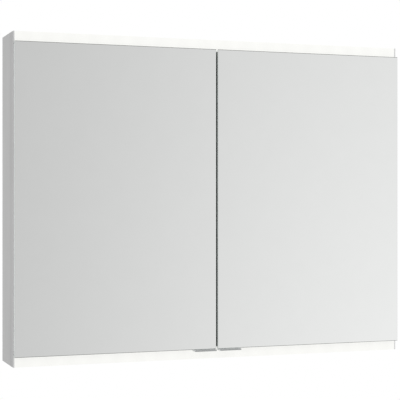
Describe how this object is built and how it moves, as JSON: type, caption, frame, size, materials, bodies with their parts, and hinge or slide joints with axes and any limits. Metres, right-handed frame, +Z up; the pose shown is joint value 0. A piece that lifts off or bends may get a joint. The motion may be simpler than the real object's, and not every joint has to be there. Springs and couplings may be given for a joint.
{
  "type": "mirror cabinet",
  "caption": "Shallow wall-hung bathroom cabinet with hinged mirror doors and a flush opal light band above and below them.",
  "frame": {"origin": "centre of the wall rail's rear face, which lies on the wall", "axes": "+Z up, +Y into the wall, +X to the right for the person who faces the cabinet"},
  "size_m": [0.9, 0.1347, 0.7],
  "materials": {
    "anodised_aluminium": "satin anodised sheet and extrusion",
    "door_frame": "satin anodised extrusion",
    "grip_aluminium": "satin anodised extrusion",
    "inner_panel": "satin anodised sheet",
    "door_mirror": "silvered float glass",
    "opal_diffuser": "opal acrylic, extruded",
    "led_board": "white solder mask",
    "shelf_glass": "toughened clear float glass with ground edges",
    "zinc_steel": "zinc-plated pressed sheet",
    "pin_steel": "ground stainless pin",
    "white_plastic": "moulded",
    "black_plastic": "moulded polyamide",
    "lead_sheath": "flexible PVC sheath"
  },
  "bodies": {
    "cabinet": {"side_panel_left": "anodised_aluminium", "side_panel_right": "anodised_aluminium", "top_light_profile": "anodised_aluminium", "bottom_light_profile": "anodised_aluminium", "shelf_track_left_outer": "anodised_aluminium", "shelf_track_left_inner": "anodised_aluminium", "shelf_track_right_outer": "anodised_aluminium", "shelf_track_right_inner": "anodised_aluminium", "top_plate": "inner_panel", "bottom_plate": "inner_panel", "ceiling_panel": "inner_panel", "floor_panel": "inner_panel", "back_panel": "inner_panel", "centre_partition": "inner_panel", "back_mirror_left": "door_mirror", "back_mirror_right": "door_mirror", "top_diffuser": "opal_diffuser", "bottom_diffuser": "opal_diffuser", "top_led_strip": "led_board", "bottom_led_strip": "led_board", "glass_shelf_left_lower": "shelf_glass", "glass_shelf_left_upper": "shelf_glass", "glass_shelf_right_lower": "shelf_glass", "glass_shelf_right_upper": "shelf_glass", "wall_rail": "zinc_steel", "hanging_bracket_left": "zinc_steel", "hanging_bracket_right": "zinc_steel", "hinge_bracket_left_top": "zinc_steel", "hinge_bracket_left_bottom": "zinc_steel", "hinge_bracket_right_top": "zinc_steel", "hinge_bracket_right_bottom": "zinc_steel", "hinge_pin_left_top": "pin_steel", "hinge_pin_left_bottom": "pin_steel", "hinge_pin_right_top": "pin_steel", "hinge_pin_right_bottom": "pin_steel", "led_driver": "white_plastic", "magnet_catch": "white_plastic", "socket_housing": "white_plastic", "socket_face_plate": "white_plastic", "socket_insert": "white_plastic", "cable_gland": "black_plastic", "top_led_lead": "lead_sheath", "bottom_led_lead": "lead_sheath"},
    "door_left": {"front_mirror_left": "door_mirror", "inner_mirror_left": "door_mirror", "hinge_stile_left": "door_frame", "closing_stile_left": "door_frame", "door_rail_top_left": "door_frame", "door_rail_bottom_left": "door_frame", "finger_grip_left": "grip_aluminium"},
    "door_right": {"front_mirror_right": "door_mirror", "inner_mirror_right": "door_mirror", "hinge_stile_right": "door_frame", "closing_stile_right": "door_frame", "door_rail_top_right": "door_frame", "door_rail_bottom_right": "door_frame", "finger_grip_right": "grip_aluminium"},
    "rocker": {"rocker_switch": "white_plastic"}
  },
  "joints": [
    {"name": "door_left_hinge", "type": "hinge", "parent": "cabinet", "child": "door_left", "pos_m": [-0.4454, -0.1197, -0.29], "axis": [0, 0, -1], "range_deg": [0, 105]},
    {"name": "door_right_hinge", "type": "hinge", "parent": "cabinet", "child": "door_right", "pos_m": [0.4454, -0.1197, -0.29], "axis": [0, 0, 1], "range_deg": [0, 105]},
    {"name": "rocker_tilt", "type": "hinge", "parent": "cabinet", "child": "rocker", "pos_m": [0.4106, -0.063, -0.5292], "axis": [0, 1, 0], "range_deg": [0, 8]}
  ]
}
